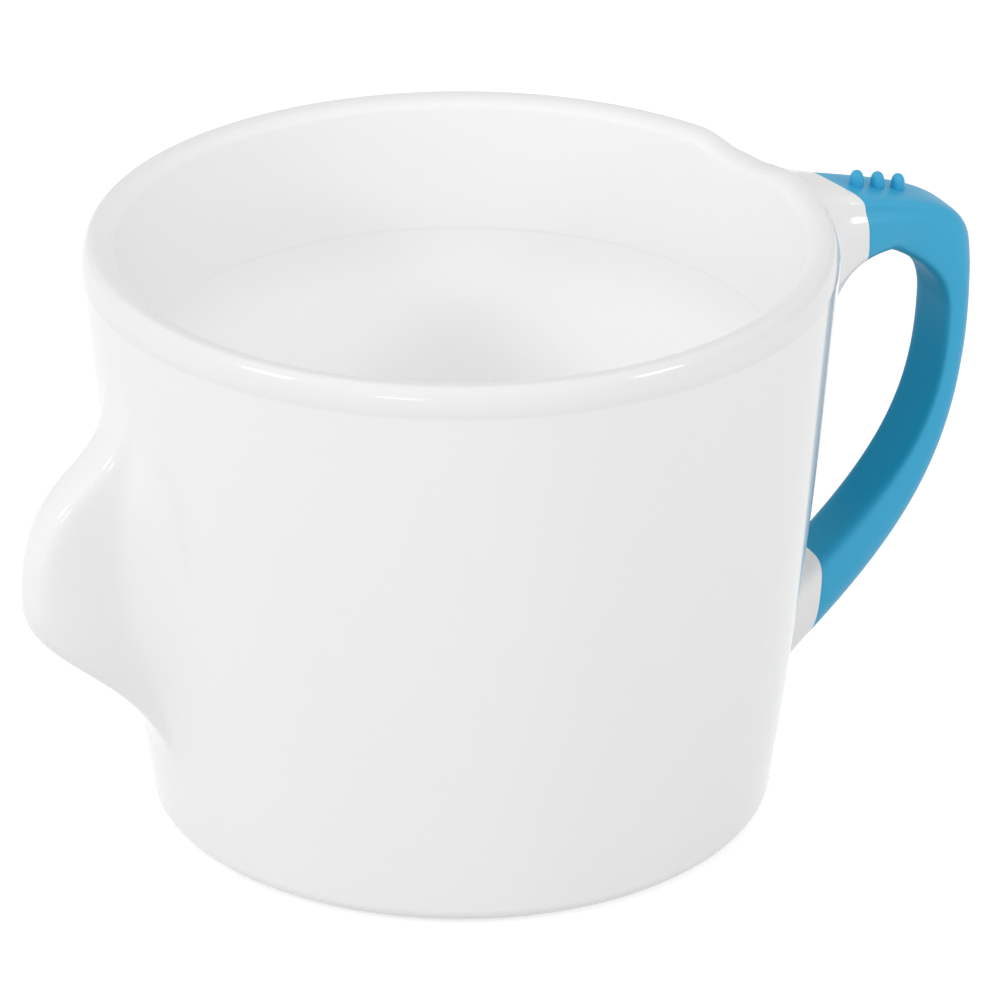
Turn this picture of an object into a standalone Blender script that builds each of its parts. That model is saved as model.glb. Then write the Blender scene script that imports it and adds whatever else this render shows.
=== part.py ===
"""Two-handled cup: a double-walled plastic cup with a loop handle and a solid lug opposite it.

A funnel-shaped liner with a rolled rim drops into an outer shell. The shell carries the lug and the handle,
and a soft sleeve with a thumb rest covers the handle's core. The cup stands on z = 0 with its axis on Z, the
loop handle towards +X and the lug towards -X.
"""

import math

import bmesh
import bpy
import numpy as np

MM = 0.001

# Cup
HEIGHT = 85.3 * MM
BASE_RADIUS = 44.0 * MM
WALL_BULGE = 0.7 * MM
WALL = 2.4 * MM
FLOOR = 3.0 * MM
FOOT_ROUND_WIDTH = 3.8 * MM
FOOT_ROUND_HEIGHT = 2.8 * MM

# Rolled rim, from its crest outward and inward
RIM_RADIUS = 52.5 * MM
RIM_OUTER_WIDTH = 1.6 * MM
RIM_OUTER_DROP = 3.4 * MM
RIM_INNER_WIDTH = 3.1 * MM
RIM_INNER_DROP = 1.7 * MM
RIM_DEPTH = 4.3 * MM
RIM_UNDERCUT = 0.15 * MM

# The rim sinks a little beside the handle, on its +Y side: steeply at first and gently towards the handle
SINK_DEPTH = 1.4 * MM
SINK_START = math.radians(23.0)
SINK_STEEP = math.radians(8.0)
SINK_END = math.radians(-1.0)
SINK_GENTLE = math.radians(11.0)

# Liner
LINER_WALL = 1.6 * MM
LINER_FLOOR = 2.0 * MM
BAND_DEPTH = 18.6 * MM
BAND_TAPER = 2.8 * MM
FUNNEL_END_RADIUS = 15.0 * MM
FUNNEL_LEAN = 4.6 * MM
FUNNEL_RUN = 24.0 * MM

# Lug, its side outline in two cubic curves that meet at the nose
LUG_REACH = 13.5 * MM
LUG_NOSE_HEIGHT = 41.4 * MM
LUG_TOP_HEIGHT = 73.2 * MM
LUG_FOOT_HEIGHT = 3.5 * MM
LUG_TOP_HOLLOW = 17.4 * MM
LUG_TOP_FULLNESS = 21.6 * MM
LUG_FOOT_HOLLOW = 25.6 * MM
LUG_FOOT_FULLNESS = 12.0 * MM
LUG_HALF_WIDTH = 4.3 * MM
LUG_SQUARENESS = 3.6
LUG_SKIRT_WIDTH = 15.0 * MM
LUG_SKIRT_SHARE = 0.40

# Handle, its outer edge: thumb rest, bend, bow and tail
THUMB_DROP = 0.2 * MM
THUMB_LENGTH = 15.8 * MM
THUMB_FALL = 5.4 * MM
THUMB_START_SLOPE = 0.46
THUMB_END_SLOPE = 0.29
BEND_LEAD = 9.6 * MM
BEND_RISE = 5.3 * MM
BEND_DROP = 17.4 * MM
BOW_REACH = 26.6 * MM
BOW_PULL = 31.1 * MM
TAIL_PULL = 23.2 * MM
TAIL_LIFT = 19.1 * MM
TAIL_HEIGHT = 5.5 * MM

# Handle, its inner edge round the finger gap
THROAT_DROP = 24.8 * MM
THROAT_LEAN = 6.4 * MM
THROAT_RISE = 5.7 * MM
GAP_TOP_DROP = 13.0 * MM
GAP_TOP_REACH = 11.9 * MM
GAP_TOP_LEAD_IN = 7.1 * MM
GAP_TOP_LEAD_OUT = 1.2 * MM
GAP_BEND_DROP = 23.2 * MM
GAP_BEND_RISE = 5.9 * MM
GAP_PULL = 16.3 * MM
GAP_TAIL_PULL = 23.0 * MM
GAP_TAIL_LIFT = 17.8 * MM
BOW_THICKNESS = 5.1 * MM
TAIL_DEPTH = 12.5 * MM

# Handle, its section: a flat thumb rest that turns into a bow with a flat finger side and a round back
THUMB_HALF_WIDTH = 7.0 * MM
THUMB_NARROWS = 0.4
ROOT_SQUARENESS = 3.2
THUMB_SQUARENESS = 5.0
BOW_HALF_WIDTH = 5.4 * MM
BOW_SQUARENESS = 2.2
FINGER_SIDE_SQUARENESS = 4.0
WAIST = 0.42
ROOT_FLARE = 5.0 * MM
ROOT_FLARE_END = 0.08
ROOT_LEAN = 0.22
BOW_LEAN = 0.23
BOW_LEAN_END = 2.94
TAIL_FLARE = 3.0 * MM
COVE_DEPTH = 0.9 * MM
COVE_PLACE = 0.66
COVE_WIDTH = 0.20
COVE_END = 1.6

# Soft grip on the handle's core, its ends counted in stretches along the handle; its start runs aslant
GRIP_START = 0.44
GRIP_SLANT = 0.11
GRIP_SLANT_END = 1.2
GRIP_END = 2.875
GRIP_SKIN = 1.1 * MM
GRIP_CLEARANCE = 0.3 * MM
GRIP_END_GAP = 0.35 * MM
GRIP_STATIONS = 26
PIP_COUNT = 3
PIP_RADIUS = 1.05 * MM
PIP_HEIGHT = 2.2 * MM
PIP_SPACING = 3.3 * MM
PIP_START = 9.1 * MM

FIT_CLEARANCE = 0.3 * MM

# Facets
TURN_STEPS = 64
FOOT_RINGS = 5
RIM_STEPS = 7
UNDERCUT_STEPS = 4
MOUTH_STEPS = 5
FUNNEL_STEPS = 9
HOLLOW_RINGS = 8
ROOT_RINGS = 8
TAIL_RINGS = 5
WALL_COLUMNS = 58
LUG_COLUMNS = 11
WALL_RINGS = 24
SECTION_POINTS = 24
PIP_SEGMENTS = 10
PIP_RINGS = 6
CURVE_SAMPLES = 400
SHARP_ANGLE = math.radians(40)

# Places that follow from the sizes above
CREST_RADIUS = RIM_RADIUS - RIM_OUTER_WIDTH
MOUTH_RADIUS = CREST_RADIUS - RIM_INNER_WIDTH
SEAT_HEIGHT = HEIGHT - RIM_DEPTH
NECK_RADIUS = RIM_RADIUS - RIM_UNDERCUT
BAND_RADIUS = MOUTH_RADIUS - BAND_TAPER
BAND_HEIGHT = HEIGHT - BAND_DEPTH
LINER_BOTTOM = FLOOR + FIT_CLEARANCE


def wall_radius(z):
    """Outer radius of the plain wall: a taper from foot to neck with a slight bulge."""
    share = np.clip((z - FOOT_ROUND_HEIGHT) / (SEAT_HEIGHT - FOOT_ROUND_HEIGHT), 0.0, 1.0)
    return BASE_RADIUS + (NECK_RADIUS - BASE_RADIUS) * share + 4.0 * WALL_BULGE * share * (1.0 - share)


def bezier(controls, t):
    """Points at the parameters t on a cubic curve."""
    a, b, c, d = (np.asarray(point, dtype=float) for point in controls)
    t = np.asarray(t, dtype=float)[..., None]
    s = 1.0 - t
    return a * s**3 + 3.0 * b * s**2 * t + 3.0 * c * s * t**2 + d * t**3


def blend(start, end, share):
    """A value that eases from start to end while the share goes from 0 to 1."""
    share = min(max(share, 0.0), 1.0)
    return start + (end - start) * share * share * (3.0 - 2.0 * share)


def arc(centre, width, height, start, end, count):
    """Points on part of an ellipse in the (radius, z) plane, from one angle to another in degrees."""
    angles = np.radians(np.linspace(start, end, count))
    return [(centre[0] + width * math.cos(a), centre[1] + height * math.sin(a)) for a in angles]


def smooth(mesh):
    mesh.shade_smooth()
    mesh.set_sharp_from_angle(angle=SHARP_ANGLE)


def new_object(name, mesh, collection):
    """A smooth-shaded object in the given collection."""
    part = bpy.data.objects.new(name, mesh)
    collection.objects.link(part)
    smooth(mesh)
    return part


def make_cutter(part):
    part.hide_render = True
    part.display_type = "WIRE"


def loft(name, rings, collection, closed=False):
    """Skin through rings of points; a closed loft joins its last ring to its first, others get end caps."""
    mesh = bpy.data.meshes.new(name)
    shell = bmesh.new()
    rows = [[shell.verts.new(point) for point in ring] for ring in rings]
    pairs = list(zip(rows, rows[1:]))
    if closed:
        pairs.append((rows[-1], rows[0]))
    else:
        shell.faces.new(rows[0])
        shell.faces.new(rows[-1])
    for low, high in pairs:
        for i in range(len(low)):
            j = (i + 1) % len(low)
            shell.faces.new((low[i], low[j], high[j], high[i]))
    bmesh.ops.recalc_face_normals(shell, faces=shell.faces)
    shell.to_mesh(mesh)
    shell.free()
    return new_object(name, mesh, collection)


def turned(name, profile, collection):
    """A turned solid: its (radius, z) profile starts and ends on the axis and runs down its outer side."""
    mesh = bpy.data.meshes.new(name)
    points = [(radius, 0.0, z) for radius, z in profile]
    edges = [(i, i + 1) for i in range(len(points) - 1)]
    mesh.from_pydata(points, edges, [])
    part = bpy.data.objects.new(name, mesh)
    collection.objects.link(part)
    screw = part.modifiers.new("turn", "SCREW")
    screw.axis = "Z"
    screw.steps = TURN_STEPS
    screw.render_steps = TURN_STEPS
    screw.use_merge_vertices = True
    screw.merge_threshold = 0.00001
    return part


def boolean(part, other, operation):
    modifier = part.modifiers.new(operation.lower(), "BOOLEAN")
    modifier.operation = operation
    modifier.solver = "EXACT"
    modifier.object = other
    make_cutter(other)


def bake(part):
    """Replace an object's mesh by its evaluated form."""
    evaluated = part.evaluated_get(bpy.context.evaluated_depsgraph_get())
    mesh = bpy.data.meshes.new_from_object(evaluated)
    part.modifiers.clear()
    part.data = mesh
    smooth(mesh)


def paint(part, colour, roughness):
    material = bpy.data.materials.new(part.name)
    material.use_nodes = True
    shader = material.node_tree.nodes["Principled BSDF"]
    shader.inputs["Base Color"].default_value = (*colour, 1.0)
    shader.inputs["Roughness"].default_value = roughness
    shader.inputs["Metallic"].default_value = 0.0
    part.data.materials.clear()
    part.data.materials.append(material)


def lug_bulge(z):
    """How far the lug's ridge stands out from the plain wall at each height."""
    nose = (RIM_RADIUS + LUG_REACH, LUG_NOSE_HEIGHT)
    top = (wall_radius(LUG_TOP_HEIGHT), LUG_TOP_HEIGHT)
    foot = (wall_radius(LUG_FOOT_HEIGHT), LUG_FOOT_HEIGHT)
    upper = (top, (top[0], top[1] - LUG_TOP_HOLLOW), (nose[0], nose[1] + LUG_TOP_FULLNESS), nose)
    lower = (nose, (nose[0], nose[1] - LUG_FOOT_FULLNESS), (foot[0], foot[1] + LUG_FOOT_HOLLOW), foot)
    t = np.linspace(0.0, 1.0, CURVE_SAMPLES)
    outline = np.vstack((bezier(upper, t), bezier(lower, t)))[::-1]
    reach = np.interp(z, outline[:, 1], outline[:, 0], left=0.0, right=0.0)
    return np.maximum(reach - wall_radius(z), 0.0)


def lug_swell(y):
    """The lug's height across its width as a share of its ridge: a flat-topped fin on a broad skirt."""
    fin = 1.0 / (1.0 + np.abs(y / LUG_HALF_WIDTH) ** (2.0 * LUG_SQUARENESS))
    skirt = (1.0 - (y / LUG_SKIRT_WIDTH) ** 2) ** 3
    return (1.0 - LUG_SKIRT_SHARE) * fin + LUG_SKIRT_SHARE * skirt


def lug_columns():
    """Places across the lug, spread evenly over the fin's top and flanks and over the skirt."""
    fine = np.linspace(0.0, LUG_SKIRT_WIDTH, CURVE_SAMPLES)
    length = np.cumsum(np.hypot(np.gradient(fine), LUG_REACH * np.gradient(lug_swell(fine))))
    across = np.interp(np.linspace(length[0], length[-1], LUG_COLUMNS + 1), length, fine)
    return np.concatenate((-across[:0:-1], across))


def cup_rings():
    """Level rings of the outer form: a circle that swells into the lug on the -X side."""
    top = SEAT_HEIGHT + WALL
    foot_angles = np.radians(np.linspace(0.0, 90.0, FOOT_RINGS))
    heights = list(FOOT_ROUND_HEIGHT * (1.0 - np.cos(foot_angles)))
    heights += list(np.linspace(FOOT_ROUND_HEIGHT, top, WALL_RINGS)[1:])
    across = lug_columns()
    rings = []
    for z in heights:
        radius = float(wall_radius(z))
        if z < FOOT_ROUND_HEIGHT:
            lean = 1.0 - z / FOOT_ROUND_HEIGHT
            radius -= FOOT_ROUND_WIDTH * (1.0 - math.sqrt(1.0 - lean**2))
        bulge = float(lug_bulge(z))
        ring = [(-math.sqrt(radius**2 - y**2) - bulge * lug_swell(y), y, z) for y in across]
        edge = math.asin(across[-1] / radius)
        for angle in np.linspace(math.pi - edge, edge - math.pi, WALL_COLUMNS + 2)[1:-1]:
            ring.append((radius * math.cos(angle), radius * math.sin(angle), z))
        rings.append(ring)
    return rings


def handle_rails():
    """The handle's outer and inner edges in the plane y = 0, each as three cubic curves."""
    root = NECK_RADIUS - WALL
    tail = float(wall_radius(TAIL_HEIGHT)) + WALL / 2.0
    third = (RIM_RADIUS + THUMB_LENGTH - root) / 3.0

    start = np.array((root, HEIGHT - THUMB_DROP))
    thumb = np.array((RIM_RADIUS + THUMB_LENGTH, HEIGHT - THUMB_DROP - THUMB_FALL))
    bow = np.array((RIM_RADIUS + BOW_REACH, HEIGHT - BEND_DROP))
    end = np.array((tail, TAIL_HEIGHT))
    down = np.array((0.0, -1.0))
    leave = np.array((1.0, -THUMB_START_SLOPE))
    arrive = np.array((1.0, -THUMB_END_SLOPE))
    outer = (
        (start, start + third * leave, thumb - third * arrive, thumb),
        (thumb, thumb + BEND_LEAD * arrive, bow - BEND_RISE * down, bow),
        (bow, bow + BOW_PULL * down, end + (TAIL_PULL, TAIL_LIFT), end),
    )

    throat = np.array((root, HEIGHT - THROAT_DROP))
    gap_top = np.array((RIM_RADIUS + GAP_TOP_REACH, HEIGHT - GAP_TOP_DROP))
    gap_side = np.array((bow[0] - BOW_THICKNESS, HEIGHT - GAP_BEND_DROP))
    gap_end = np.array((tail, TAIL_HEIGHT + TAIL_DEPTH))
    level = np.array((1.0, 0.0))
    inner = (
        (throat, throat + (THROAT_LEAN, THROAT_RISE), gap_top - GAP_TOP_LEAD_IN * level, gap_top),
        (gap_top, gap_top + GAP_TOP_LEAD_OUT * level, gap_side - GAP_BEND_RISE * down, gap_side),
        (gap_side, gap_side + GAP_PULL * down, gap_end + (GAP_TAIL_PULL, GAP_TAIL_LIFT), gap_end),
    )
    return outer, inner


def rail_point(rail, place):
    """The point on a rail at a place counted in stretches."""
    stretch = min(int(place), len(rail) - 1)
    return bezier(rail[stretch], place - stretch)


def handle_station(place):
    """Outer point, inner point and half-width at a place counted in stretches along the handle."""
    outer, inner = handle_rails()
    if place < 1.0:
        inner_place = place + 4.0 * ROOT_LEAN * place * (1.0 - place)
    else:
        inner_place = place - BOW_LEAN * (place - 1.0) * (BOW_LEAN_END - place)
    top = rail_point(outer, place)
    under = rail_point(inner, inner_place)
    half = blend(THUMB_HALF_WIDTH, BOW_HALF_WIDTH, place - THUMB_NARROWS)
    root = np.clip((GRIP_START - place) / (GRIP_START - ROOT_FLARE_END), 0.0, 1.0)
    tail = np.clip((place - GRIP_END) / (3.0 - GRIP_END), 0.0, 1.0)
    half += ROOT_FLARE * (1.0 - math.sqrt(1.0 - root**2))
    half += TAIL_FLARE * (1.0 - math.sqrt(1.0 - tail**2))
    return top, under, half


def slant(place):
    """How far the sections are turned, in stretches at the handle's edges: most where the grip starts."""
    if place < GRIP_START:
        return blend(0.0, GRIP_SLANT, place / GRIP_START)
    return blend(GRIP_SLANT, 0.0, (place - GRIP_START) / (GRIP_SLANT_END - GRIP_START))


def handle_section(place, inset):
    """A rounded section across the handle, drawn in by an inset; the thumb rest has a cove under its edge."""
    ring = []
    back = blend(ROOT_SQUARENESS, THUMB_SQUARENESS, place / GRIP_START)
    back = blend(back, BOW_SQUARENESS, place - 1.0)
    for angle in np.linspace(0.0, 2.0 * math.pi, SECTION_POINTS, endpoint=False):
        power = 2.0 / (back if math.sin(angle) > 0.0 else FINGER_SIDE_SQUARENESS)
        up = math.copysign(abs(math.sin(angle)) ** power, math.sin(angle))
        side = math.copysign(abs(math.cos(angle)) ** power, math.cos(angle))
        top, under, half = handle_station(max(place - slant(place) * side, 0.0))
        span = np.linalg.norm(top - under)
        rise = (top - under) / span
        depth = (1.0 - WAIST if up > 0.0 else WAIST) * span - inset
        spot = under + rise * (WAIST * span + depth * up)
        cove = COVE_DEPTH * np.clip(COVE_END - place, 0.0, 1.0) if inset == 0.0 else 0.0
        y = (half - inset) * side - cove * side * math.exp(-(((up - COVE_PLACE) / COVE_WIDTH) ** 2))
        ring.append((spot[0], y, spot[1]))
    return ring


def along(place, distance):
    """The place that lies a distance further along the handle's middle."""
    step = 0.001
    here = sum(handle_station(place)[:2]) / 2.0
    there = sum(handle_station(place + step)[:2]) / 2.0
    return place + distance * step / np.linalg.norm(there - here)


def grip_places():
    """The grip's stations; the core has a ring at each of them, so the fit stays even round the bend."""
    return np.linspace(along(GRIP_START, GRIP_END_GAP), along(GRIP_END, -GRIP_END_GAP), GRIP_STATIONS)


def handle_frame(collection):
    """Roots and core of the handle as one bar, full size up to the grip and drawn in under it."""
    core = GRIP_SKIN + GRIP_CLEARANCE
    rings = [[(x - 2.0 * WALL, y, z) for x, y, z in handle_section(0.0, 0.0)]]
    rings += [handle_section(place, 0.0) for place in np.linspace(0.0, GRIP_START, ROOT_RINGS)]
    rings += [handle_section(place, core) for place in (GRIP_START, *grip_places(), GRIP_END)]
    rings += [handle_section(place, 0.0) for place in np.linspace(GRIP_END, 3.0, TAIL_RINGS)]
    rings += [[(x - 2.0 * WALL, y, z) for x, y, z in handle_section(3.0, 0.0)]]
    return loft("handle_frame", rings, collection)


def rim_outside(clearance, edge_height):
    """The rim's outer side in (radius, z), from the crest down to its lower edge."""
    widest = HEIGHT - RIM_OUTER_DROP
    width, drop = RIM_OUTER_WIDTH + clearance, RIM_OUTER_DROP + clearance
    upper = arc((CREST_RADIUS, widest), width, drop, 90, 0, RIM_STEPS)
    neck = (NECK_RADIUS + clearance, widest)
    turn_in = arc(neck, RIM_UNDERCUT, widest - edge_height, 0, -90, UNDERCUT_STEPS)
    return upper + turn_in[1:]


def hollow_profile():
    """The room for the liner and the air space: under the rim a ledge, then the wall's inner side."""
    top = HEIGHT + RIM_DEPTH
    outside = [(0.0, top), (CREST_RADIUS, top)] + rim_outside(FIT_CLEARANCE, SEAT_HEIGHT)
    heights = np.linspace(SEAT_HEIGHT, FLOOR + WALL, HOLLOW_RINGS)
    inside = [(float(wall_radius(z)) - WALL, z) for z in heights]
    floor_edge = inside[-1][0] - WALL
    return outside + inside + [(floor_edge, FLOOR), (0.0, FLOOR)]


def make_shell(parts, cutters):
    shell = loft("cup_shell", cup_rings(), parts)
    boolean(shell, handle_frame(cutters), "UNION")
    boolean(shell, turned("shell_hollow", hollow_profile(), cutters), "DIFFERENCE")
    bake(shell)
    paint(shell, (0.84, 0.84, 0.83), 0.25)


def sunk(x, y, z):
    """The rim's crest dips beside the handle; below its widest line it stays level."""
    angle = math.atan2(y, x)
    dip = blend(0.0, SINK_DEPTH, (SINK_START - angle) / SINK_STEEP)
    dip *= blend(0.0, 1.0, (angle - SINK_END) / SINK_GENTLE)
    widest = HEIGHT - RIM_OUTER_DROP
    rise = min(max((z - widest) / RIM_OUTER_DROP, 0.0), 1.0)
    return z - dip * rise


def funnel(radius_extra, floor, band_height):
    """The funnel's slope in (radius, z), from the middle of its rounded bottom up to the straight band."""
    corner = np.array((FUNNEL_END_RADIUS + radius_extra, floor))
    band = np.array((BAND_RADIUS + radius_extra, band_height))
    controls = ((0.0, floor), corner, band - (FUNNEL_LEAN, FUNNEL_RUN), band)
    return [tuple(point) for point in bezier(controls, np.linspace(0.0, 1.0, FUNNEL_STEPS))]


def liner_profile():
    """Up the inside from the axis, over the rim and down the outside back to the axis."""
    mouth = HEIGHT - RIM_INNER_DROP
    seat = SEAT_HEIGHT + FIT_CLEARANCE
    spigot = NECK_RADIUS - WALL - FIT_CLEARANCE
    inside = funnel(0.0, LINER_BOTTOM + LINER_FLOOR, BAND_HEIGHT)
    inside += arc((CREST_RADIUS, mouth), RIM_INNER_WIDTH, RIM_INNER_DROP, 180, 90, MOUTH_STEPS)
    outside = rim_outside(0.0, seat)[1:]
    outside += [(spigot, seat)]
    outside += funnel(LINER_WALL, LINER_BOTTOM, BAND_HEIGHT - LINER_WALL)[::-1]
    return inside + outside


def make_liner(parts):
    liner = turned("inner_liner", liner_profile(), parts)
    bake(liner)
    for vertex in liner.data.vertices:
        vertex.co.z = sunk(*vertex.co)
    paint(liner, (0.84, 0.84, 0.83), 0.22)


def make_grip(parts, cutters):
    places = grip_places()
    outer = [handle_section(place, 0.0) for place in places]
    bore = [handle_section(place, GRIP_SKIN) for place in places]
    grip = loft("handle_grip", outer + bore[::-1], parts, closed=True)
    tops = np.array([handle_station(place)[0] for place in places])
    for i in range(PIP_COUNT):
        x = RIM_RADIUS + PIP_START + i * PIP_SPACING
        z = float(np.interp(x, tops[:GRIP_STATIONS // 2, 0], tops[:GRIP_STATIONS // 2, 1]))
        boolean(grip, make_pip(i, x, z, cutters), "UNION")
    bake(grip)
    paint(grip, (0.022, 0.34, 0.55), 0.42)


def make_pip(number, x, z, cutters):
    """A small rounded nub whose foot is sunk in the thumb rest, halfway through the skin."""
    name = f"pip_{number + 1}"
    mesh = bpy.data.meshes.new(name)
    ball = bmesh.new()
    bmesh.ops.create_uvsphere(ball, u_segments=PIP_SEGMENTS, v_segments=PIP_RINGS, radius=PIP_RADIUS)
    for vertex in ball.verts:
        vertex.co.z *= (PIP_HEIGHT if vertex.co.z > 0.0 else GRIP_SKIN / 2.0) / PIP_RADIUS
    bmesh.ops.translate(ball, verts=ball.verts, vec=(x, 0.0, z))
    ball.to_mesh(mesh)
    ball.free()
    return new_object(name, mesh, cutters)


def main():
    for old in list(bpy.data.objects):
        bpy.data.objects.remove(old)
    parts = bpy.data.collections.new("two_handled_cup")
    cutters = bpy.data.collections.new("cutters")
    bpy.context.scene.collection.children.link(parts)
    bpy.context.scene.collection.children.link(cutters)
    make_shell(parts, cutters)
    make_liner(parts)
    make_grip(parts, cutters)


main()
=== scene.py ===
"""Looks of the two-handled cup: finer forms of its three pieces, their materials, studio and camera."""

import math

import bmesh
import bpy
import numpy as np
from mathutils import Matrix

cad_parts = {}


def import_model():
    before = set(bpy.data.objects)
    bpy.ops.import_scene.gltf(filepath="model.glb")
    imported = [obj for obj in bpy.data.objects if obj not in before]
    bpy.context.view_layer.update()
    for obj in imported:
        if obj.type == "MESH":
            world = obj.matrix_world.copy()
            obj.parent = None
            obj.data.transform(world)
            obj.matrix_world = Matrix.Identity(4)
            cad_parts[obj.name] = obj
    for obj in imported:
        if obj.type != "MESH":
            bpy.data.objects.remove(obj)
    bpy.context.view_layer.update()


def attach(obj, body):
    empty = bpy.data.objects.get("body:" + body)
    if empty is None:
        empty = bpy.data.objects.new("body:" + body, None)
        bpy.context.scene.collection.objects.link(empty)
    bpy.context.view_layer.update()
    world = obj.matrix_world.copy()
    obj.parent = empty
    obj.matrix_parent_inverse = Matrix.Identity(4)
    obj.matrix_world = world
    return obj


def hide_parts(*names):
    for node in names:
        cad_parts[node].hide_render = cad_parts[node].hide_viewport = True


MM = 0.001

# Cup
HEIGHT = 85.3 * MM
BASE_RADIUS = 44.0 * MM
WALL_BULGE = 0.7 * MM
WALL = 2.4 * MM
FLOOR = 3.0 * MM
FOOT_ROUND_WIDTH = 3.8 * MM
FOOT_ROUND_HEIGHT = 2.8 * MM

# Rolled rim and its dip beside the handle
RIM_RADIUS = 52.5 * MM
RIM_OUTER_WIDTH = 1.6 * MM
RIM_OUTER_DROP = 3.4 * MM
RIM_INNER_WIDTH = 3.1 * MM
RIM_INNER_DROP = 1.7 * MM
RIM_DEPTH = 4.3 * MM
RIM_UNDERCUT = 0.05 * MM
MOUTH_START = 175.0
SINK_DEPTH = 1.4 * MM
SINK_START = math.radians(23.0)
SINK_STEEP = math.radians(8.0)
SINK_END = math.radians(-1.0)
SINK_GENTLE = math.radians(11.0)

# Liner, with a fine step where the funnel starts
LINER_WALL = 1.6 * MM
LINER_FLOOR = 2.0 * MM
FIT_CLEARANCE = 0.3 * MM
BAND_DEPTH = 18.6 * MM
BAND_TAPER = 2.8 * MM
STEP_HEIGHT = 0.09 * MM
STEP_RISE = 1.6 * MM
STEP_FALL = 0.25 * MM
STEP_SPREAD = 2.5
FUNNEL_END_RADIUS = 15.0 * MM
FUNNEL_LEAN = 4.6 * MM
FUNNEL_RUN = 24.0 * MM

# Lug, a little crisper than the plain solid's
LUG_REACH = 13.5 * MM
LUG_NOSE_HEIGHT = 41.4 * MM
LUG_TOP_HEIGHT = 73.2 * MM
LUG_FOOT_HEIGHT = 3.5 * MM
LUG_TOP_HOLLOW = 17.4 * MM
LUG_TOP_FULLNESS = 21.6 * MM
LUG_FOOT_HOLLOW = 25.6 * MM
LUG_FOOT_FULLNESS = 12.0 * MM
LUG_HALF_WIDTH = 4.45 * MM
LUG_SQUARENESS = 5.5
LUG_SKIRT_WIDTH = 15.0 * MM
LUG_SKIRT_SHARE = 0.40

# Handle, its outer edge and its inner edge
THUMB_DROP = 0.2 * MM
THUMB_LENGTH = 15.8 * MM
THUMB_FALL = 5.4 * MM
THUMB_START_SLOPE = 0.46
THUMB_END_SLOPE = 0.29
BEND_LEAD = 9.6 * MM
BEND_RISE = 5.3 * MM
BEND_DROP = 17.4 * MM
BOW_REACH = 26.6 * MM
BOW_PULL = 31.1 * MM
TAIL_PULL = 23.2 * MM
TAIL_LIFT = 19.1 * MM
TAIL_HEIGHT = 5.5 * MM
THROAT_DROP = 24.8 * MM
THROAT_LEAN = 6.4 * MM
THROAT_RISE = 5.7 * MM
GAP_TOP_DROP = 13.0 * MM
GAP_TOP_REACH = 11.9 * MM
GAP_TOP_LEAD_IN = 7.1 * MM
GAP_TOP_LEAD_OUT = 1.2 * MM
GAP_BEND_DROP = 23.2 * MM
GAP_BEND_RISE = 5.9 * MM
GAP_PULL = 16.3 * MM
GAP_TAIL_PULL = 23.0 * MM
GAP_TAIL_LIFT = 17.8 * MM
BOW_THICKNESS = 5.1 * MM
TAIL_DEPTH = 12.5 * MM

# Handle, its section and its grip, with places counted in stretches along the handle
HANDLE_END = 3.0
THUMB_HALF_WIDTH = 7.0 * MM
THUMB_NARROWS = 0.4
ROOT_SQUARENESS = 3.2
THUMB_SQUARENESS = 5.0
BOW_HALF_WIDTH = 5.4 * MM
BOW_SQUARENESS = 2.2
FINGER_SIDE_SQUARENESS = 4.0
WAIST = 0.42
ROOT_FLARE = 5.0 * MM
ROOT_FLARE_END = 0.08
ROOT_LEAN = 0.22
BOW_LEAN = 0.23
BOW_LEAN_END = 2.94
TAIL_FLARE = 3.0 * MM
COVE_DEPTH = 0.9 * MM
COVE_PLACE = 0.66
COVE_WIDTH = 0.20
COVE_END = 1.6
GRIP_START = 0.44
GRIP_SLANT = 0.11
GRIP_SLANT_END = 1.2
GRIP_END = 2.875
GRIP_SKIN = 1.1 * MM
EDGE_ROUND = 0.12 * MM
SEAM_HEIGHT = 0.05 * MM
SEAM_WIDTH = 0.30 * MM
PIP_COUNT = 3
PIP_RADIUS = 1.05 * MM
PIP_HEIGHT = 2.2 * MM
PIP_BLUNTNESS = 0.75
PIP_SPACING = 3.3 * MM
PIP_START = 9.1 * MM
THUMB_END = 1.5

# Joint lines between the pieces show as hairlines, and the skin keeps just inside the plain solids
HAIRLINE = 0.015 * MM
SKIN_INSET = 0.02 * MM
SLIVER = 0.002 * MM

# Facets
COLUMNS = 150
LUG_COLUMNS = 40
RINGS = 90
FOOT_RINGS = 11
INSIDE_RINGS = 24
TURN_COLUMNS = 192
RIM_POINTS = 16
RIM_EDGE_POINTS = 8
HOLLOW_RIM_POINTS = 14
FUNNEL_POINTS = 60
FUNNEL_BACK_POINTS = 24
BAND_POINTS = 12
STEP_POINTS = 9
SECTION_POINTS = 112
SECTION_SAMPLES = 2881
ROOT_POINTS = 72
ROOT_STATIONS = 30
CORE_STATIONS = 60
TAIL_STATIONS = 18
GRIP_STATIONS = 150
GRIP_EDGE_STATIONS = 5
BORE_STATIONS = 60
THUMB_SAMPLES = 80
PIP_COLUMNS = 28
PIP_RINGS = 20
CURVE_SAMPLES = 600
SHARP_ANGLE = math.radians(38)

CREST_RADIUS = RIM_RADIUS - RIM_OUTER_WIDTH
MOUTH_RADIUS = CREST_RADIUS - RIM_INNER_WIDTH
SEAT_HEIGHT = HEIGHT - RIM_DEPTH
NECK_RADIUS = RIM_RADIUS - RIM_UNDERCUT
BAND_RADIUS = MOUTH_RADIUS - BAND_TAPER
BAND_HEIGHT = HEIGHT - BAND_DEPTH
LINER_BOTTOM = FLOOR + FIT_CLEARANCE

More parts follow.
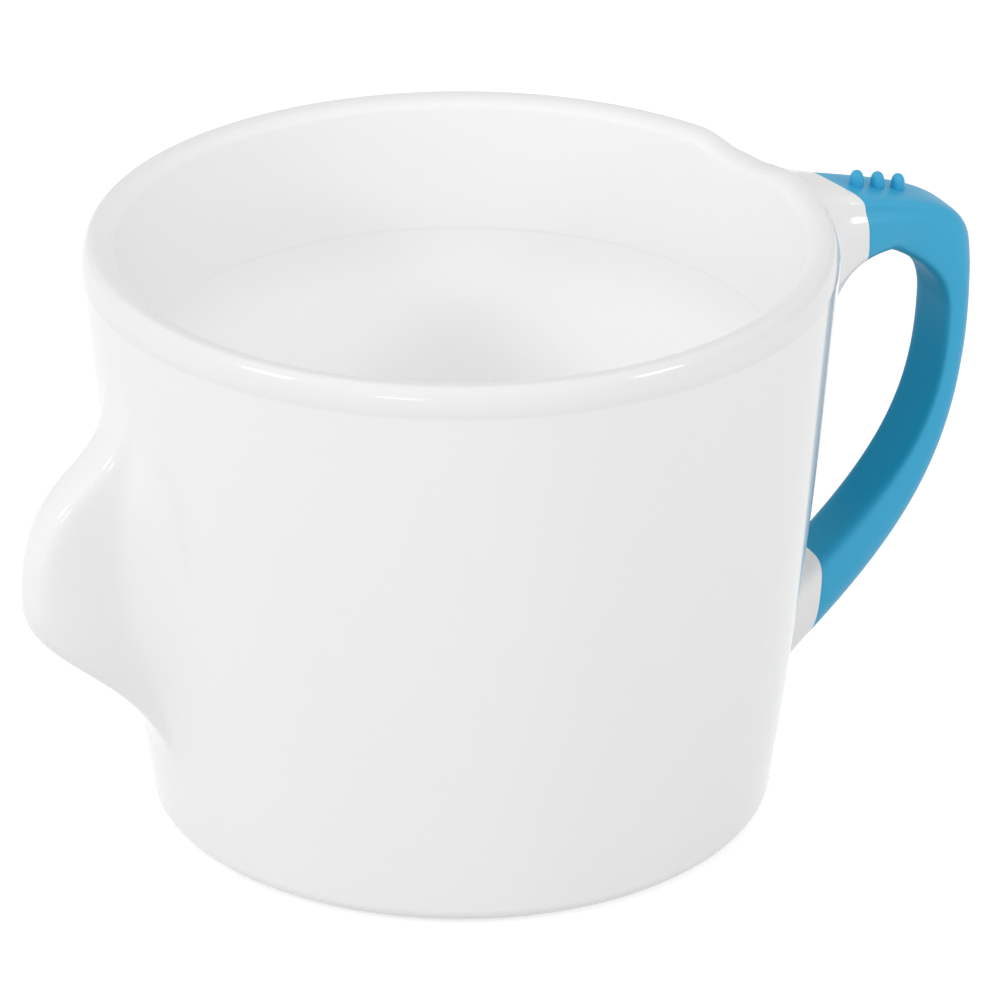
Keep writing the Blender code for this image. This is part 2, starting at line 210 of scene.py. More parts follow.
# Camera, fitted to the photo
CAMERA_AZIMUTH = math.radians(-25.0)
CAMERA_ELEVATION = math.radians(25.56)
CAMERA_DISTANCE = 1033.9 * MM
CAMERA_LENS = 264.93
CAMERA_SENSOR = 36.0
CAMERA_CLIP_END = 20.0
CAMERA_SIDE = 5.45 * MM
CAMERA_HEIGHT = 44.3 * MM
CAMERA_ROLL = 0.0017

# Colours, and finishes with the least and greatest roughness. The rim's white is darker than the shell's
# with painted shade, and the lining's whites are lighter with painted light.
WHITE = (0.872, 0.872, 0.87)
WHITE_DEEP = (0.857, 0.857, 0.854)
# painted shade: the rim's white is darker than the shell's to tone down the light on its upward faces
SHADED_RIM_WHITE = (0.83, 0.83, 0.828)
SHADED_RIM_DEEP = (0.815, 0.815, 0.812)
# painted light: the funnel's lining is whiter than the band's, where light from above falls on its slope
LIT_FUNNEL_LINING = (0.955, 0.955, 0.954)
SHADED_BAND_LINING = (0.892, 0.892, 0.891)
BLUE = (0.034, 0.392, 0.652)
BLUE_DEEP = (0.028, 0.372, 0.628)
WHITE_FINISH = {"roughness": (0.08, 0.14), "specular": 0.5, "bump": 0.02, "grain": 900.0}
BLUE_FINISH = {"roughness": (0.36, 0.48), "specular": 0.45, "bump": 0.06, "grain": 1500.0}
CLOUD_SCALE = 22.0
CLOUD_DETAIL = 3.0
GRAIN_DETAIL = 4.0
GRAIN_DEPTH = 0.2 * MM

# Matte lining, which fades into the glossy rim; its tone changes at the ring, with painted light making
# the funnel lighter than the band above it
MATTE_ROUGHNESS = 0.5
MATTE_SPECULAR = 0.2
MATTE_FADE_START = MOUTH_RADIUS - 0.5 * MM
MATTE_FADE_END = CREST_RADIUS
BAND_FADE_START = BAND_RADIUS - 2.5 * MM
BAND_FADE_END = BAND_RADIUS + 0.3 * MM

# Finger side of the grip, matte and darkened by painted shade, which fades in as the surface turns
# towards the middle of the loop
FINGER_SIDE_SPECULAR = 0.02
# painted shade: multiplies the grip's blue darker on the finger side
FINGER_SIDE_PAINTED_SHADE = (0.45, 0.70, 0.72)
FINGER_SIDE_FADE_START = 0.1
FINGER_SIDE_FADE_END = 0.8
LOOP_CENTRE = (61.0 * MM, 0.0, 47.0 * MM)

# Floor: its shade and glow as the camera sees it, and the light that it throws back onto the cup
FLOOR_HALF = 2.0
FLOOR_DROP = 0.02 * MM
FLOOR_SHADE = (0.45, 0.45, 0.45, 1.0)
FLOOR_GLOW = 0.70
FLOOR_BOUNCE = (0.70, 0.70, 0.70, 1.0)

# World: an even level, and more from some sides, each as azimuth, elevation and strength
WORLD_LEVEL = 0.70
WORLD_SIDES = ((0.0, 10.0, 0.35), (-90.0, 10.0, 0.18))

# Lamps, each as name, azimuth, elevation, distance, width, height and power
LAMPS = (
    ("lamp_left", -60.0, 28.5, 0.9, 0.20, 0.12, 1.1),
    ("lamp_front", -17.0, 12.0, 1.1, 0.26, 0.06, 0.3),
    ("lamp_right", 62.0, 29.0, 0.9, 0.20, 0.12, 0.82),
)


def wall_radius(z):
    """The plain wall's outer radius at each height."""
    share = np.clip((z - FOOT_ROUND_HEIGHT) / (SEAT_HEIGHT - FOOT_ROUND_HEIGHT), 0.0, 1.0)
    return BASE_RADIUS + (NECK_RADIUS - BASE_RADIUS) * share + 4.0 * WALL_BULGE * share * (1.0 - share)


def bezier(controls, t):
    """Points on a cubic curve at shares t of its course."""
    a, b, c, d = (np.asarray(point, dtype=float) for point in controls)
    t = np.asarray(t, dtype=float)[..., None]
    s = 1.0 - t
    return a * s**3 + 3.0 * b * s**2 * t + 3.0 * c * s * t**2 + d * t**3


def blend(start, end, share):
    """A value that eases from start to end while the share goes from 0 to 1."""
    share = np.clip(share, 0.0, 1.0)
    return start + (end - start) * share * share * (3.0 - 2.0 * share)


def arc(centre, width, height, start, end, count):
    """Points on part of an ellipse, between two angles in degrees."""
    angles = np.radians(np.linspace(start, end, count))
    return [(centre[0] + width * math.cos(a), centre[1] + height * math.sin(a)) for a in angles]


def smooth(mesh):
    """Smooth shading that keeps the sharp edges."""
    mesh.shade_smooth()
    mesh.set_sharp_from_angle(angle=SHARP_ANGLE)


def add_object(name, data):
    """A new object in the scene."""
    item = bpy.data.objects.new(name, data)
    bpy.context.scene.collection.objects.link(item)
    return item


def new_piece(name, mesh):
    """A smooth object around a finished mesh."""
    smooth(mesh)
    return add_object(name, mesh)


def loft(name, rings, closed=False):
    """Skin through rings of points; a closed loft joins its last ring to its first, others have caps."""
    mesh = bpy.data.meshes.new(name)
    skin = bmesh.new()
    rows = [[skin.verts.new(point) for point in ring] for ring in rings]
    pairs = list(zip(rows, rows[1:]))
    if closed:
        pairs.append((rows[-1], rows[0]))
    else:
        skin.faces.new(rows[0])
        skin.faces.new(rows[-1])
    for low, high in pairs:
        for i in range(len(low)):
            j = (i + 1) % len(low)
            skin.faces.new((low[i], low[j], high[j], high[i]))
    bmesh.ops.recalc_face_normals(skin, faces=skin.faces)
    skin.to_mesh(mesh)
    skin.free()
    return new_piece(name, mesh)


def combine(piece, other, operation):
    """Cut or join two pieces for good, drop the second and clear away slivers along the cut."""
    modifier = piece.modifiers.new("combine", "BOOLEAN")
    modifier.operation = operation
    modifier.solver = "EXACT"
    modifier.object = other
    evaluated = piece.evaluated_get(bpy.context.evaluated_depsgraph_get())
    mesh = bpy.data.meshes.new_from_object(evaluated)
    piece.modifiers.clear()
    piece.data = mesh
    bpy.data.objects.remove(other)
    skin = bmesh.new()
    skin.from_mesh(mesh)
    bmesh.ops.remove_doubles(skin, verts=skin.verts, dist=SLIVER)
    bmesh.ops.dissolve_degenerate(skin, edges=skin.edges, dist=SLIVER)
    needless = [vertex for vertex in skin.verts if len(vertex.link_edges) == 2]
    bmesh.ops.dissolve_verts(skin, verts=needless)
    skin.to_mesh(mesh)
    skin.free()
    smooth(mesh)


def sunk(x, y, z):
    """The rim's crest dips beside the handle; below its widest line it stays level."""
    angle = math.atan2(y, x)
    dip = blend(0.0, SINK_DEPTH, (SINK_START - angle) / SINK_STEEP)
    dip *= blend(0.0, 1.0, (angle - SINK_END) / SINK_GENTLE)
    rise = np.clip((z - (HEIGHT - RIM_OUTER_DROP)) / RIM_OUTER_DROP, 0.0, 1.0)
    return z - dip * rise


def spun(name, profile):
    """A turned solid whose profile starts and ends on the axis, with the rim's dip."""
    angles = np.linspace(0.0, 2.0 * math.pi, TURN_COLUMNS, endpoint=False)
    rings = []
    for radius, z in profile[1:-1]:
        ring = [(radius * math.cos(a), radius * math.sin(a), z) for a in angles]
        rings.append([(x, y, sunk(x, y, z)) for x, y, z in ring])
    return loft(name, rings)


def lug_bulge(z):
    """How far the lug's ridge stands out from the plain wall at each height."""
    nose = (RIM_RADIUS + LUG_REACH - SKIN_INSET, LUG_NOSE_HEIGHT)
    top = (wall_radius(LUG_TOP_HEIGHT), LUG_TOP_HEIGHT)
    foot = (wall_radius(LUG_FOOT_HEIGHT), LUG_FOOT_HEIGHT)
    upper = (top, (top[0], top[1] - LUG_TOP_HOLLOW), (nose[0], nose[1] + LUG_TOP_FULLNESS), nose)
    lower = (nose, (nose[0], nose[1] - LUG_FOOT_FULLNESS), (foot[0], foot[1] + LUG_FOOT_HOLLOW), foot)
    t = np.linspace(0.0, 1.0, CURVE_SAMPLES)
    outline = np.vstack((bezier(upper, t), bezier(lower, t)))[::-1]
    reach = np.interp(z, outline[:, 1], outline[:, 0], left=0.0, right=0.0)
    return np.maximum(reach - wall_radius(z), 0.0)


def lug_swell(y):
    """The lug's height across its width as a share of its ridge: a flat-topped fin on a broad skirt."""
    fin = 1.0 / (1.0 + np.abs(y / LUG_HALF_WIDTH) ** (2.0 * LUG_SQUARENESS))
    skirt = (1.0 - (y / LUG_SKIRT_WIDTH) ** 2) ** 3
    return (1.0 - LUG_SKIRT_SHARE) * fin + LUG_SKIRT_SHARE * skirt


def lug_columns():
    """Places across the lug, spread evenly over the fin's top and flanks and over the skirt."""
    fine = np.linspace(0.0, LUG_SKIRT_WIDTH, CURVE_SAMPLES)
    length = np.cumsum(np.hypot(np.gradient(fine), LUG_REACH * np.gradient(lug_swell(fine))))
    across = np.interp(np.linspace(length[0], length[-1], LUG_COLUMNS + 1), length, fine)
    return np.concatenate((-across[:0:-1], across))


def shell_ring(radius, z, bulge):
    """A level ring of the shell: a circle that swells into the lug on the -X side."""
    across = lug_columns()
    ring = [(-math.sqrt(radius**2 - y**2) - bulge * lug_swell(y), y, z) for y in across]
    edge = math.asin(across[-1] / radius)
    for angle in np.linspace(math.pi - edge, edge - math.pi, COLUMNS + 2)[1:-1]:
        ring.append((radius * math.cos(angle), radius * math.sin(angle), z))
    return ring


def shell_rings():
    """Up the outside, over the top edge and down the inside to the floor."""
    rings = []
    for a in np.radians(np.linspace(0.0, 90.0, FOOT_RINGS)):
        radius = BASE_RADIUS - FOOT_ROUND_WIDTH * (1.0 - math.sin(a))
        rings.append(shell_ring(radius, FOOT_ROUND_HEIGHT * (1.0 - math.cos(a)), 0.0))
    for z in np.linspace(FOOT_ROUND_HEIGHT, SEAT_HEIGHT - HAIRLINE, RINGS)[1:]:
        rings.append(shell_ring(float(wall_radius(z)), z, float(lug_bulge(z))))
    rings.append(shell_ring(NECK_RADIUS - HAIRLINE, SEAT_HEIGHT, 0.0))
    for z in np.linspace(SEAT_HEIGHT, FLOOR + WALL, INSIDE_RINGS):
        rings.append(shell_ring(float(wall_radius(z)) - WALL, z, 0.0))
    rings.append(shell_ring(float(wall_radius(FLOOR + WALL)) - 2.0 * WALL, FLOOR, 0.0))
    return rings


def handle_rails():
    """The handle's outer and inner edges in the plane y = 0, each as three cubic curves."""
    root = NECK_RADIUS - WALL
    tail = float(wall_radius(TAIL_HEIGHT)) + WALL / 2.0
    third = (RIM_RADIUS + THUMB_LENGTH - root) / 3.0
    start = np.array((root, HEIGHT - THUMB_DROP))
    thumb = np.array((RIM_RADIUS + THUMB_LENGTH, HEIGHT - THUMB_DROP - THUMB_FALL))
    bow = np.array((RIM_RADIUS + BOW_REACH, HEIGHT - BEND_DROP))
    end = np.array((tail, TAIL_HEIGHT))
    down = np.array((0.0, -1.0))
    leave = np.array((1.0, -THUMB_START_SLOPE))
    arrive = np.array((1.0, -THUMB_END_SLOPE))
    outer = (
        (start, start + third * leave, thumb - third * arrive, thumb),
        (thumb, thumb + BEND_LEAD * arrive, bow - BEND_RISE * down, bow),
        (bow, bow + BOW_PULL * down, end + (TAIL_PULL, TAIL_LIFT), end),
    )
    throat = np.array((root, HEIGHT - THROAT_DROP))
    gap_top = np.array((RIM_RADIUS + GAP_TOP_REACH, HEIGHT - GAP_TOP_DROP))
    gap_side = np.array((bow[0] - BOW_THICKNESS, HEIGHT - GAP_BEND_DROP))
    gap_end = np.array((tail, TAIL_HEIGHT + TAIL_DEPTH))
    level = np.array((1.0, 0.0))
    inner = (
        (throat, throat + (THROAT_LEAN, THROAT_RISE), gap_top - GAP_TOP_LEAD_IN * level, gap_top),
        (gap_top, gap_top + GAP_TOP_LEAD_OUT * level, gap_side - GAP_BEND_RISE * down, gap_side),
        (gap_side, gap_side + GAP_PULL * down, gap_end + (GAP_TAIL_PULL, GAP_TAIL_LIFT), gap_end),
    )
    return outer, inner


OUTER_RAIL, INNER_RAIL = handle_rails()


def rail_points(rail, places):
    """Points on a rail at places counted in stretches."""
    stretch = np.clip(places.astype(int), 0, len(rail) - 1)
    points = np.empty((len(places), 2))
    for i, controls in enumerate(rail):
        points[stretch == i] = bezier(controls, (places - stretch)[stretch == i])
    return points


def handle_stations(places):
    """Outer points, inner points and half-widths at places counted in stretches along the handle."""
    places = np.atleast_1d(np.asarray(places, dtype=float))
    root_lean = 4.0 * ROOT_LEAN * places * (1.0 - places)
    bow_lean = BOW_LEAN * (places - 1.0) * (BOW_LEAN_END - places)
    top = rail_points(OUTER_RAIL, places)
    under = rail_points(INNER_RAIL, places + np.where(places < 1.0, root_lean, -bow_lean))
    half = blend(THUMB_HALF_WIDTH, BOW_HALF_WIDTH, places - THUMB_NARROWS)
    root = np.clip((GRIP_START - places) / (GRIP_START - ROOT_FLARE_END), 0.0, 1.0)
    tail = np.clip((places - GRIP_END) / (HANDLE_END - GRIP_END), 0.0, 1.0)
    half = half + ROOT_FLARE * (1.0 - np.sqrt(1.0 - root**2))
    half = half + TAIL_FLARE * (1.0 - np.sqrt(1.0 - tail**2))
    return top, under, half


def slant(place):
    """How far the sections are turned, in stretches at the handle's edges: most where the grip starts."""
    if place < GRIP_START:
        return blend(0.0, GRIP_SLANT, place / GRIP_START)
    return blend(GRIP_SLANT, 0.0, (place - GRIP_START) / (GRIP_SLANT_END - GRIP_START))


def unit_section(place, count):
    """A rounded section of unit half-width and half-height, with even steps round it at its real size."""
    back = blend(ROOT_SQUARENESS, THUMB_SQUARENESS, place / GRIP_START)
    back = blend(back, BOW_SQUARENESS, place - 1.0)
    angles = np.linspace(0.5 * math.pi, 2.5 * math.pi, SECTION_SAMPLES)
    sine, cosine = np.sin(angles), np.cos(angles)
    power = np.where(sine > 0.0, 2.0 / back, 2.0 / FINGER_SIDE_SQUARENESS)
    up = np.sign(sine) * np.abs(sine) ** power
    side = np.sign(cosine) * np.abs(cosine) ** power
    top, under, half = handle_stations(place)
    span = np.linalg.norm(top - under)
    heights = np.where(up > 0.0, (1.0 - WAIST) * up, WAIST * up) * span
    length = np.concatenate(([0.0], np.cumsum(np.hypot(np.diff(side * half), np.diff(heights)))))
    steps = np.linspace(0.0, length[-1], count, endpoint=False)
    return np.interp(steps, length, side), np.interp(steps, length, up)


def handle_section(place, inset, count=SECTION_POINTS, seam=0.0):
    """A section across the handle, drawn in by an inset; the thumb rest has a cove under its edge."""
    side, up = unit_section(place, count)
    top, under, half = handle_stations(np.maximum(place - slant(place) * side, 0.0))
    span = np.linalg.norm(top - under, axis=1)
    rise = (top - under) / span[:, None]
    cove = COVE_DEPTH * np.clip(COVE_END - place, 0.0, 1.0) if inset < GRIP_SKIN else 0.0
    y = (half - inset) * side - cove * side * np.exp(-(((up - COVE_PLACE) / COVE_WIDTH) ** 2))
    depth = np.where(up > 0.0, 1.0 - WAIST, WAIST) * span - inset
    level = WAIST * span + depth * up
    level = np.where(up < 0.0, level - seam * np.exp(-((y / SEAM_WIDTH) ** 2)), level)
    spot = under + rise * level[:, None]
    return list(zip(spot[:, 0], y, spot[:, 1]))


def along(place, distance):
    """The place that lies a distance further along the handle's middle."""
    step = 0.001
    top, under, _ = handle_stations((place, place + step))
    here, there = (top + under) / 2.0
    return place + distance * step / np.linalg.norm(there - here)


def handle_frame():
    """Roots and core of the handle as one bar, full size up to the grip and drawn in under it."""
    rings = []
    for start, end, count, inset in (
        (0.0, GRIP_START, ROOT_STATIONS, 0.0),
        (GRIP_START, GRIP_END, CORE_STATIONS, GRIP_SKIN + FIT_CLEARANCE),
        (GRIP_END, HANDLE_END, TAIL_STATIONS, 0.0),
    ):
        rings += [handle_section(place, inset, ROOT_POINTS) for place in np.linspace(start, end, count)]
    first = [(x - 2.0 * WALL, y, z) for x, y, z in rings[0]]
    last = [(x - 2.0 * WALL, y, z) for x, y, z in rings[-1]]
    return loft("handle_frame", [first] + rings + [last])


def rim_outside(clearance, edge_height, count):
    """The rim's outer side in (radius, z), from the crest down to its lower edge."""
    widest = HEIGHT - RIM_OUTER_DROP
    width, drop = RIM_OUTER_WIDTH + clearance, RIM_OUTER_DROP + clearance
    upper = arc((CREST_RADIUS, widest), width, drop, 90.0, 0.0, count)
    turn_in = []
    for share in np.linspace(0.0, 1.0, RIM_EDGE_POINTS)[1:]:
        radius = blend(RIM_RADIUS, NECK_RADIUS, share) + clearance
        turn_in.append((radius, widest + share * (edge_height - widest)))
    return upper + turn_in


def hollow_profile():
    """What has to stay clear of the handle's roots: the rim, the liner's seat and the air space."""
    top = HEIGHT + RIM_DEPTH
    outside = [(0.0, top), (CREST_RADIUS, top)] + rim_outside(HAIRLINE, SEAT_HEIGHT, HOLLOW_RIM_POINTS)
    heights = np.linspace(SEAT_HEIGHT, FLOOR + WALL, INSIDE_RINGS)
    inside = [(float(wall_radius(z)) - WALL, z) for z in heights]
    return outside + inside + [(inside[-1][0] - WALL, FLOOR), (0.0, FLOOR)]


def make_shell():
    """The wall with the lug, and the handle's roots and core joined to it."""
    shell = loft("shell", shell_rings())
    bar = handle_frame()
    combine(bar, spun("hollow", hollow_profile()), "DIFFERENCE")
    combine(shell, bar, "UNION")
    return shell


def funnel(radius_extra, floor, band_height, count):
    """The funnel's slope in (radius, z), from the middle of its rounded bottom up to the band."""
    corner = np.array((FUNNEL_END_RADIUS + radius_extra, floor))
    band = np.array((BAND_RADIUS + radius_extra, band_height))
    controls = ((0.0, floor), corner, band - (FUNNEL_LEAN, FUNNEL_RUN), band)
    return [tuple(point) for point in bezier(controls, np.linspace(0.0, 1.0, count))]


def step_profile(heights, radii):
    """The liner's inside in (radius, z), with a fine step at the ring: gentle above and abrupt below."""
    spread = np.linspace(0.0, STEP_SPREAD, STEP_POINTS)
    off = np.concatenate((-spread[::-1] * STEP_FALL, spread[1:] * STEP_RISE))
    step = STEP_HEIGHT * np.exp(-((off / np.where(off < 0.0, STEP_FALL, STEP_RISE)) ** 2))
    fine = BAND_HEIGHT + off
    edge = np.interp(fine, heights, radii) - step
    low, high = heights < fine[0], heights > fine[-1]
    stretches = ((radii[low], heights[low]), (edge, fine), (radii[high], heights[high]))
    return [point for stretch in stretches for point in zip(*stretch)]


def make_liner():
    """Up the inside from the axis, past the fine step, over the rim and down the outside."""
    mouth = HEIGHT - RIM_INNER_DROP
    seat = SEAT_HEIGHT + HAIRLINE
    spigot = NECK_RADIUS - WALL - FIT_CLEARANCE
    slope = np.array(funnel(0.0, LINER_BOTTOM + LINER_FLOOR, BAND_HEIGHT, FUNNEL_POINTS))
    heights = np.concatenate((slope[:, 1], np.linspace(BAND_HEIGHT, mouth, BAND_POINTS)[1:-1]))
    radii = np.concatenate((slope[:, 0], np.linspace(BAND_RADIUS, MOUTH_RADIUS, BAND_POINTS)[1:-1]))
    inside = step_profile(heights, radii)
    inside += arc((CREST_RADIUS, mouth), RIM_INNER_WIDTH, RIM_INNER_DROP, MOUTH_START, 90.0, RIM_POINTS)
    outside = rim_outside(0.0, seat, RIM_POINTS)[1:]
    outside += [(spigot, seat)]
    outside += funnel(LINER_WALL, LINER_BOTTOM, BAND_HEIGHT - LINER_WALL, FUNNEL_BACK_POINTS)[::-1]
    return spun("liner", inside + outside)


def make_pip(x, z):
    """A blunt pip with its foot sunk into the grip's skin."""
    mesh = bpy.data.meshes.new("pip")
    ball = bmesh.new()
    bmesh.ops.create_uvsphere(ball, u_segments=PIP_COLUMNS, v_segments=PIP_RINGS, radius=PIP_RADIUS)
    for vertex in ball.verts:
        out, up = vertex.co.xy.length / PIP_RADIUS, vertex.co.z / PIP_RADIUS
        on_axis = out < 0.01
        if up > 0.0 and not on_axis:
            vertex.co.xy *= out ** (PIP_BLUNTNESS - 1.0)
        vertex.co.z = PIP_HEIGHT * up**PIP_BLUNTNESS if up > 0.0 else GRIP_SKIN / 2.0 * up
    bmesh.ops.translate(ball, verts=ball.verts, vec=(x, 0.0, z))
    ball.to_mesh(mesh)
    ball.free()
    return new_piece("pip", mesh)


def make_grip():
    """The sleeve with softly rounded ends, a mould seam on its finger side and pips on the thumb rest."""
    start, end = along(GRIP_START, HAIRLINE), along(GRIP_END, -HAIRLINE)
    first, last = [], []
    for a in np.radians(np.linspace(0.0, 90.0, GRIP_EDGE_STATIONS)):
        back, inset = EDGE_ROUND * (1.0 - math.cos(a)), EDGE_ROUND * (1.0 - math.sin(a))
        first.append(handle_section(along(start, back), inset))
        last.insert(0, handle_section(along(end, -back), inset))
    places = np.linspace(along(start, EDGE_ROUND), along(end, -EDGE_ROUND), GRIP_STATIONS)[1:-1]
    skin = [handle_section(place, SKIN_INSET, seam=SEAM_HEIGHT) for place in places]
    bore = [handle_section(place, GRIP_SKIN) for place in np.linspace(start, end, BORE_STATIONS)]
    grip = loft("grip", first + skin + last + bore[::-1], closed=True)
    tops = handle_stations(np.linspace(GRIP_START, THUMB_END, THUMB_SAMPLES))[0]
    for i in range(PIP_COUNT):
        x = RIM_RADIUS + PIP_START + i * PIP_SPACING
        combine(grip, make_pip(x, float(np.interp(x, tops[:, 0], tops[:, 1]))), "UNION")
    return grip


def feed(tree, node, inputs):
    """Give a node's inputs other nodes' outputs or plain values."""
    for name, source in inputs.items():
        if isinstance(source, bpy.types.NodeSocket):
            tree.links.new(source, node.inputs[name])
        else:
            node.inputs[name].default_value = source


def new_node(tree, kind, inputs, output, **settings):
    """The output of a new shader node with its settings made and its inputs fed."""
    node = tree.nodes.new("ShaderNode" + kind)
    for name, value in settings.items():
        setattr(node, name, value)
    feed(tree, node, inputs)
    return node.outputs[output]


def noise(tree, place, scale, detail):
    """Soft noise between 0 and 1."""
    return new_node(tree, "TexNoise", {"Vector": place, "Scale": scale, "Detail": detail}, "Fac")


def vector_maths(tree, operation, output, *vectors):
    """A vector sum, product, length or the like."""
    return new_node(tree, "VectorMath", dict(enumerate(vectors)), output, operation=operation)


def fade(tree, value, start, end):
    """A share that eases from 0 to 1 while the value goes from start to end."""
    inputs = {"Value": value, "From Min": start, "From Max": end}
    return new_node(tree, "MapRange", inputs, "Result", interpolation_type="SMOOTHSTEP")


def mix_values(tree, share, first, second):
    """From the first value to the second while the share goes from 0 to 1."""
    return new_node(tree, "Mix", {"Factor": share, "A": first, "B": second}, "Result")


def mix_colours(tree, share, first, second, how="MIX"):
    """From the first colour to the second, or into their product, while the share goes from 0 to 1."""
    inputs = {"Factor": share, "A": first, "B": second}
    return new_node(tree, "Mix", inputs, "Result", data_type="RGBA", blend_type=how)


def plastic(name, colour, deep_colour, roughness, specular, bump, grain):
    """Moulded plastic: slight flow clouds in the colour, uneven gloss and a fine skin."""
    material = bpy.data.materials.new(name)
    material.use_nodes = True
    tree = material.node_tree
    place = new_node(tree, "TexCoord", {}, "Object")
    clouds = noise(tree, place, CLOUD_SCALE, CLOUD_DETAIL)
    gloss = {"Value": clouds, "To Min": roughness[0], "To Max": roughness[1]}
    skin = noise(tree, place, grain, GRAIN_DETAIL)
    relief = {"Height": skin, "Strength": bump, "Distance": GRAIN_DEPTH}
    inputs = {
        "Base Color": mix_colours(tree, clouds, (*colour, 1.0), (*deep_colour, 1.0)),
        "Roughness": new_node(tree, "MapRange", gloss, "Result"),
        "Specular IOR Level": specular,
        "Normal": new_node(tree, "Bump", relief, "Normal"),
    }
    feed(tree, tree.nodes["Principled BSDF"], inputs)
    return material


def matte_inside_with_painted_light(material):
    """The liner's inside is matte and painted bright up to the mouth, with painted light making the
    funnel lighter than the band, and the rim outside it is glossy.
    """
    tree = material.node_tree
    shader = tree.nodes["Principled BSDF"]
    tint = shader.inputs["Base Color"].links[0].from_socket
    gloss = shader.inputs["Roughness"].links[0].from_socket
    specular = shader.inputs["Specular IOR Level"].default_value
    place = new_node(tree, "TexCoord", {}, "Object")
    level = vector_maths(tree, "MULTIPLY", "Vector", place, (1.0, 1.0, 0.0))
    radius = vector_maths(tree, "LENGTH", "Value", level)
    rim = fade(tree, radius, MATTE_FADE_START, MATTE_FADE_END)
    band = fade(tree, radius, BAND_FADE_START, BAND_FADE_END)
    # painted light: the funnel gets a lighter white than the band above the ring
    lining = mix_colours(tree, band, (*LIT_FUNNEL_LINING, 1.0), (*SHADED_BAND_LINING, 1.0))
    inputs = {
        "Base Color": mix_colours(tree, rim, lining, tint),
        "Roughness": mix_values(tree, rim, MATTE_ROUGHNESS, gloss),
        "Specular IOR Level": mix_values(tree, rim, MATTE_SPECULAR, specular),
    }
    feed(tree, shader, inputs)
    return material


def matte_and_shaded_finger_side(material):
    """The grip's finger side, which faces the middle of the loop, is duller than the rest, and its blue
    is darkened and deepened by painted shade.
    """
    tree = material.node_tree
    shader = tree.nodes["Principled BSDF"]
    tint = shader.inputs["Base Color"].links[0].from_socket
    specular = shader.inputs["Specular IOR Level"].default_value
    surface = tree.nodes.new("ShaderNodeNewGeometry")
    inward = vector_maths(tree, "SUBTRACT", "Vector", LOOP_CENTRE, surface.outputs["Position"])
    unit = vector_maths(tree, "NORMALIZE", "Vector", inward)
    facing = vector_maths(tree, "DOT_PRODUCT", "Value", unit, surface.outputs["Normal"])
    share = fade(tree, facing, FINGER_SIDE_FADE_START, FINGER_SIDE_FADE_END)
    inputs = {
        # painted shade: the blue is multiplied darker where the surface faces the middle of the loop
        "Base Color": mix_colours(tree, share, tint, (*FINGER_SIDE_PAINTED_SHADE, 1.0), "MULTIPLY"),
        "Specular IOR Level": mix_values(tree, share, specular, FINGER_SIDE_SPECULAR),
    }
    feed(tree, shader, inputs)
    return material


def dress(piece, material, node):
    """Give a piece its material, hang it on the root body and hide the plain part that it stands for."""
    piece.data.materials.clear()
    piece.data.materials.append(material)
    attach(piece, "root")
    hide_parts(node)


def set_up(name, data, across, up, back, spot):
    """A camera or lamp in the scene, placed by its three axes and its spot."""
    item = add_object(name, data)
    columns = np.column_stack((across, up, back, spot))
    item.matrix_world = Matrix(np.vstack((columns, (0.0, 0.0, 0.0, 1.0))))
    return item


def make_camera():
    """The fitted camera, with its slight roll."""
    right = np.array((math.cos(CAMERA_AZIMUTH), math.sin(CAMERA_AZIMUTH), 0.0))
    flat = np.array((math.sin(CAMERA_AZIMUTH), -math.cos(CAMERA_AZIMUTH), 0.0))
    toward = math.cos(CAMERA_ELEVATION) * flat + np.array((0.0, 0.0, math.sin(CAMERA_ELEVATION)))
    up = np.cross(toward, right)
    side = math.cos(CAMERA_ROLL) * right + math.sin(CAMERA_ROLL) * up
    over = math.cos(CAMERA_ROLL) * up - math.sin(CAMERA_ROLL) * right
    spot = CAMERA_SIDE * right + np.array((0.0, 0.0, CAMERA_HEIGHT)) + CAMERA_DISTANCE * toward
    lens = bpy.data.cameras.new("camera")
    lens.sensor_width = CAMERA_SENSOR
    lens.lens = CAMERA_LENS
    lens.clip_end = CAMERA_CLIP_END
    bpy.context.scene.camera = set_up("camera", lens, side, over, toward, spot)


def studio_direction(azimuth, elevation):
    """From the cup outwards, with the azimuth counted from the camera to the right."""
    a, e = CAMERA_AZIMUTH + math.radians(azimuth), math.radians(elevation)
    return np.array((math.sin(a) * math.cos(e), -math.cos(a) * math.cos(e), math.sin(e)))


def make_lamp(name, azimuth, elevation, distance, width, height, power):
    """An upright soft box that faces the cup."""
    away = studio_direction(azimuth, elevation)
    lamp = bpy.data.lights.new(name, "AREA")
    lamp.shape = "RECTANGLE"
    lamp.size = width
    lamp.size_y = height
    lamp.energy = power
    across = np.cross((0.0, 0.0, 1.0), away)
    across = across / np.linalg.norm(across)
    spot = np.array((0.0, 0.0, 0.5 * HEIGHT)) + distance * away
    set_up(name, lamp, across, np.cross(away, across), away, spot)


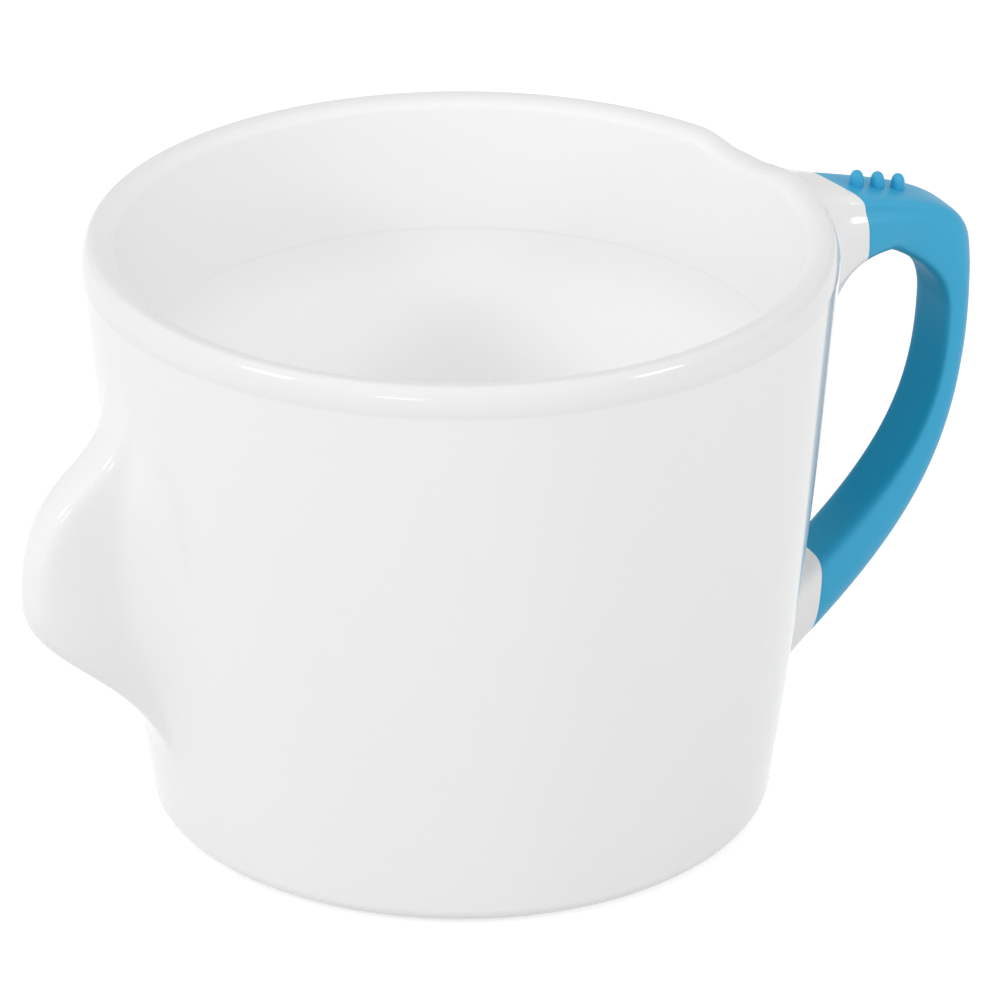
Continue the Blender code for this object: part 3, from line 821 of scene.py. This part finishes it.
def make_world():
    """A soft white tent, somewhat lighter towards the camera and on the left."""
    world = bpy.data.worlds.new("studio")
    bpy.context.scene.world = world
    world.use_nodes = True
    tree = world.node_tree
    direction = new_node(tree, "TexCoord", {}, "Generated")
    level = WORLD_LEVEL
    for azimuth, elevation, strength in WORLD_SIDES:
        bright = studio_direction(azimuth, elevation)
        towards = vector_maths(tree, "DOT_PRODUCT", "Value", direction, bright)
        side = new_node(tree, "MapRange", {"Value": towards, "To Max": strength}, "Result")
        level = new_node(tree, "Math", {0: level, 1: side}, "Value", operation="ADD")
    feed(tree, tree.nodes["Background"], {"Strength": level, "Color": (1.0, 1.0, 1.0, 1.0)})


def make_floor():
    """A white sweep: seen by the camera it glows up to white, and it still takes the cup's shadow."""
    mesh = bpy.data.meshes.new("floor")
    corners = ((-1.0, -1.0), (1.0, -1.0), (1.0, 1.0), (-1.0, 1.0))
    mesh.from_pydata([(FLOOR_HALF * x, FLOOR_HALF * y, 0.0) for x, y in corners], [], [(0, 1, 2, 3)])
    floor = add_object("floor", mesh)
    floor.location.z = -FLOOR_DROP
    material = bpy.data.materials.new("white_sweep")
    material.use_nodes = True
    tree = material.node_tree
    tree.nodes.remove(tree.nodes["Principled BSDF"])
    ray = tree.nodes.new("ShaderNodeLightPath")
    rays = {0: ray.outputs["Is Camera Ray"], 1: ray.outputs["Is Glossy Ray"]}
    seen = new_node(tree, "Math", rays, "Value", operation="MAXIMUM")
    bounce = new_node(tree, "BsdfDiffuse", {"Color": FLOOR_BOUNCE}, "BSDF")
    shade = new_node(tree, "BsdfDiffuse", {"Color": FLOOR_SHADE}, "BSDF")
    glow = new_node(tree, "Emission", {"Strength": FLOOR_GLOW}, "Emission")
    both = new_node(tree, "AddShader", {0: shade, 1: glow}, "Shader")
    choice = new_node(tree, "MixShader", {0: seen, 1: bounce, 2: both}, "Shader")
    feed(tree, tree.nodes["Material Output"], {"Surface": choice})
    mesh.materials.append(material)


def main():
    """The three pieces, then the studio and the view transform."""
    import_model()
    white = plastic("white_plastic", WHITE, WHITE_DEEP, **WHITE_FINISH)
    lining = matte_inside_with_painted_light(plastic("white_lining", SHADED_RIM_WHITE, SHADED_RIM_DEEP, **WHITE_FINISH))
    blue = matte_and_shaded_finger_side(plastic("blue_rubber", BLUE, BLUE_DEEP, **BLUE_FINISH))
    dress(make_shell(), white, "cup_shell")
    dress(make_liner(), lining, "inner_liner")
    dress(make_grip(), blue, "handle_grip")
    make_camera()
    make_world()
    make_floor()
    for lamp in LAMPS:
        make_lamp(*lamp)
    bpy.context.scene.view_settings.view_transform = "Standard"


main()
